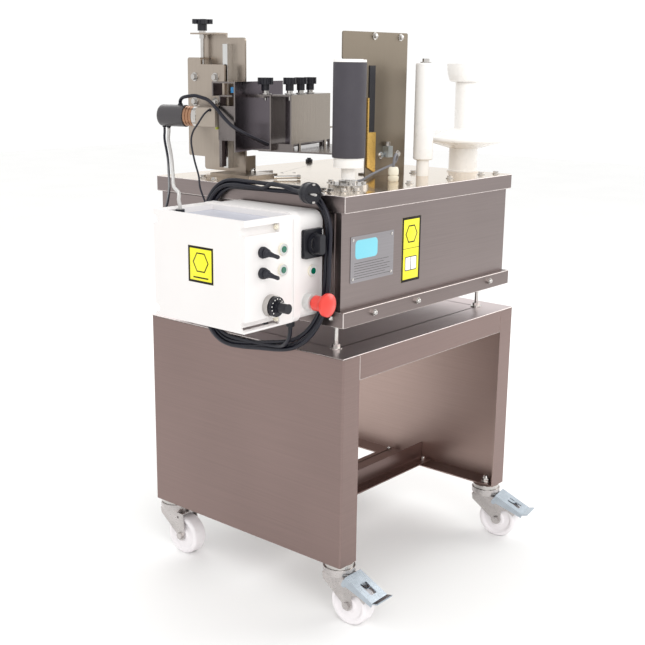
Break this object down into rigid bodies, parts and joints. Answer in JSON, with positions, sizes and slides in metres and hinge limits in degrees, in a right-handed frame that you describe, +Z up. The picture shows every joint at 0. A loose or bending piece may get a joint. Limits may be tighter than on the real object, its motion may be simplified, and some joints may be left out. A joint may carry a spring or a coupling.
{
  "type": "bottle labelling machine",
  "caption": "Semi-automatic bottle labelling machine: sheet-steel cabinet on a wheeled stand, with drive roller, label reel, height-adjustable head and side control box.",
  "frame": {"origin": "centre of the bounding box of the machine without its mains cord, on the floor", "axes": "+X to the right along the front, +Y to the back, +Z up"},
  "size_m": [0.813, 0.6086, 1.098],
  "materials": {
    "stand_steel": "brushed satin",
    "cabinet_steel": "brushed satin",
    "bright_steel": "bright turned",
    "head_steel": "brushed",
    "ground_steel": "ground",
    "zinc_steel": "zinc plated",
    "plate_aluminium": "satin",
    "box_plastic": "fine matte",
    "ivory_plastic": "matte",
    "green_lens": "glossy",
    "black_plastic": "satin",
    "black_rubber": "matte",
    "motor_paint": "semi-gloss",
    "brass": "satin",
    "grey_cable": "satin",
    "black_cable": "satin",
    "white_plastic": "satin turned",
    "unit_paint": "satin",
    "red_plastic": "glossy",
    "wheel_nylon": "satin"
  },
  "bodies": {
    "frame": {"stand_top": "stand_steel", "stand_left_side": "stand_steel", "stand_right_side": "stand_steel", "cross_brace": "stand_steel", "levelling_feet": "bright_steel", "fasteners": "bright_steel", "tray": "cabinet_steel", "cabinet": "cabinet_steel", "left_panel": "cabinet_steel", "lid": "cabinet_steel", "nameplate": "plate_aluminium", "box_base": "box_plastic", "box_lid": "box_plastic", "box_fittings": "ivory_plastic", "lamp_lenses": "green_lens", "control_bezels": "bright_steel", "switch_plate": "black_plastic", "drive_motor": "motor_paint", "drive_belt": "black_rubber", "bearing_housing": "bright_steel", "label_plate": "head_steel", "peel_strip": "brass", "reel_posts": "bright_steel", "column": "head_steel", "linear_rail": "ground_steel", "sensor_cable": "grey_cable", "mains_coil": "black_cable", "mains_tube": "black_cable", "mains_plug": "black_plastic", "head_leads": "grey_cable"},
    "near_fork": {"near_fork": "zinc_steel"},
    "near_wheel": {"near_wheel": "wheel_nylon"},
    "near_pedal": {"near_pedal": "zinc_steel"},
    "right_fork": {"right_fork": "zinc_steel"},
    "right_wheel": {"right_wheel": "wheel_nylon"},
    "right_pedal": {"right_pedal": "zinc_steel"},
    "rear_left_fork": {"rear_left_fork": "zinc_steel"},
    "rear_left_wheel": {"rear_left_wheel": "wheel_nylon"},
    "rear_right_fork": {"rear_right_fork": "zinc_steel"},
    "rear_right_wheel": {"rear_right_wheel": "wheel_nylon"},
    "drive_roller": {"roller_core": "white_plastic", "rubber_sleeve": "black_rubber"},
    "motor_pulley": {"motor_pulley": "ground_steel"},
    "guide_roller": {"guide_roller": "white_plastic"},
    "reel_hub": {"reel_hub": "white_plastic"},
    "reel_cone": {"reel_cone": "white_plastic"},
    "head": {"carriage": "head_steel", "label_brackets": "head_steel", "print_unit": "unit_paint", "head_cable": "black_cable"},
    "spindle": {"spindle": "black_plastic"},
    "clamp_knob_1": {"clamp_knob_1": "black_plastic"},
    "clamp_knob_2": {"clamp_knob_2": "black_plastic"},
    "clamp_knob_3": {"clamp_knob_3": "black_plastic"},
    "clamp_knob_4": {"clamp_knob_4": "black_plastic"},
    "toggle_1": {"toggle_1": "black_rubber"},
    "toggle_2": {"toggle_2": "black_rubber"},
    "speed_knob": {"speed_knob": "black_plastic"},
    "switch_grip": {"switch_grip": "black_plastic"},
    "estop_button": {"estop_button": "red_plastic"}
  },
  "joints": [
    {"name": "near_swivel", "type": "hinge", "parent": "frame", "child": "near_fork", "pos_m": [-0.1891, -0.1948, 0.1], "axis": [0, 0, 1], "continuous": true},
    {"name": "near_roll", "type": "hinge", "parent": "near_fork", "child": "near_wheel", "pos_m": [-0.1885, -0.22929, 0.041], "axis": [0.9998, 0.0175, 0], "continuous": true},
    {"name": "near_brake", "type": "hinge", "parent": "near_fork", "child": "near_pedal", "pos_m": [-0.18861, -0.2228, 0.081], "axis": [0.9998, 0.0175, 0], "range_deg": [0, 8]},
    {"name": "right_swivel", "type": "hinge", "parent": "frame", "child": "right_fork", "pos_m": [0.3241, -0.1948, 0.1], "axis": [0, 0, 1], "continuous": true},
    {"name": "right_roll", "type": "hinge", "parent": "right_fork", "child": "right_wheel", "pos_m": [0.33009, -0.22878, 0.041], "axis": [0.9848, 0.1736, 0], "continuous": true},
    {"name": "right_brake", "type": "hinge", "parent": "right_fork", "child": "right_pedal", "pos_m": [0.32896, -0.22237, 0.081], "axis": [0.9848, 0.1736, 0], "range_deg": [0, 8]},
    {"name": "rear_left_swivel", "type": "hinge", "parent": "frame", "child": "rear_left_fork", "pos_m": [-0.1891, 0.258, 0.1], "axis": [0, 0, 1], "continuous": true},
    {"name": "rear_left_roll", "type": "hinge", "parent": "rear_left_fork", "child": "rear_left_wheel", "pos_m": [-0.1885, 0.22351, 0.041], "axis": [0.9998, 0.0175, 0], "continuous": true},
    {"name": "rear_right_swivel", "type": "hinge", "parent": "frame", "child": "rear_right_fork", "pos_m": [0.3241, 0.258, 0.1], "axis": [0, 0, 1], "continuous": true},
    {"name": "rear_right_roll", "type": "hinge", "parent": "rear_right_fork", "child": "rear_right_wheel", "pos_m": [0.31811, 0.22402, 0.041], "axis": [0.9848, -0.1736, 0], "continuous": true},
    {"name": "roller_spin", "type": "hinge", "parent": "frame", "child": "drive_roller", "pos_m": [-0.0893, -0.1199, 0.9], "axis": [0, 0, 1], "continuous": true},
    {"name": "motor_spin", "type": "hinge", "parent": "frame", "child": "motor_pulley", "pos_m": [0.0207, -0.1199, 0.743], "axis": [0, 0, 1], "continuous": true},
    {"name": "guide_spin", "type": "hinge", "parent": "frame", "child": "guide_roller", "pos_m": [0.177, -0.0978, 0.9], "axis": [0, 0, 1], "continuous": true},
    {"name": "reel_spin", "type": "hinge", "parent": "frame", "child": "reel_hub", "pos_m": [0.3155, -0.1044, 0.9], "axis": [0, 0, 1], "continuous": true},
    {"name": "cone_lift", "type": "slide", "parent": "reel_hub", "child": "reel_cone", "axis": [0, 0, 1], "range_m": [0, 0.045]},
    {"name": "head_lift", "type": "slide", "parent": "frame", "child": "head", "axis": [0, 0, 1], "range_m": [-0.01, 0.035], "deforming": ["head_leads"]},
    {"name": "spindle_turn", "type": "hinge", "parent": "frame", "child": "spindle", "pos_m": [-0.0955, 0.2536, 1.05], "axis": [0, 0, 1], "range_deg": [-6400, 1900]},
    {"name": "clamp_1_turn", "type": "hinge", "parent": "head", "child": "clamp_knob_1", "pos_m": [-0.0581, 0.11696, 0.96], "axis": [0, 0, 1], "range_deg": [0, 720]},
    {"name": "clamp_2_turn", "type": "hinge", "parent": "head", "child": "clamp_knob_2", "pos_m": [-0.03196, 0.0766, 0.96], "axis": [0, 0, 1], "range_deg": [0, 720]},
    {"name": "clamp_3_turn", "type": "hinge", "parent": "head", "child": "clamp_knob_3", "pos_m": [0.0161, 0.09038, 0.96], "axis": [0, 0, 1], "range_deg": [0, 720]},
    {"name": "clamp_4_turn", "type": "hinge", "parent": "head", "child": "clamp_knob_4", "pos_m": [0.0584, 0.10251, 0.96], "axis": [0, 0, 1], "range_deg": [0, 720]},
    {"name": "toggle_1_flip", "type": "hinge", "parent": "frame", "child": "toggle_1", "pos_m": [-0.3665, -0.1758, 0.716], "axis": [-1, 0, 0], "range_deg": [0, 16]},
    {"name": "toggle_2_flip", "type": "hinge", "parent": "frame", "child": "toggle_2", "pos_m": [-0.3665, -0.1758, 0.6814], "axis": [-1, 0, 0], "range_deg": [0, 16]},
    {"name": "speed_turn", "type": "hinge", "parent": "frame", "child": "speed_knob", "pos_m": [-0.3475, -0.1884, 0.624], "axis": [0, 1, 0], "range_deg": [-135, 135]},
    {"name": "switch_turn", "type": "hinge", "parent": "frame", "child": "switch_grip", "pos_m": [-0.2445, -0.1784, 0.717], "axis": [0, 1, 0], "range_deg": [0, 90]},
    {"name": "estop_press", "type": "slide", "parent": "frame", "child": "estop_button", "axis": [0, 1, 0], "range_m": [0, 0.004], "stiffness_N_per_m": 600}
  ],
  "couplings": [
    {"joint": "motor_spin", "follows": "roller_spin", "ratio": 1},
    {"joint": "spindle_turn", "follows": "head_lift", "rad_per_m": -3141.6}
  ]
}
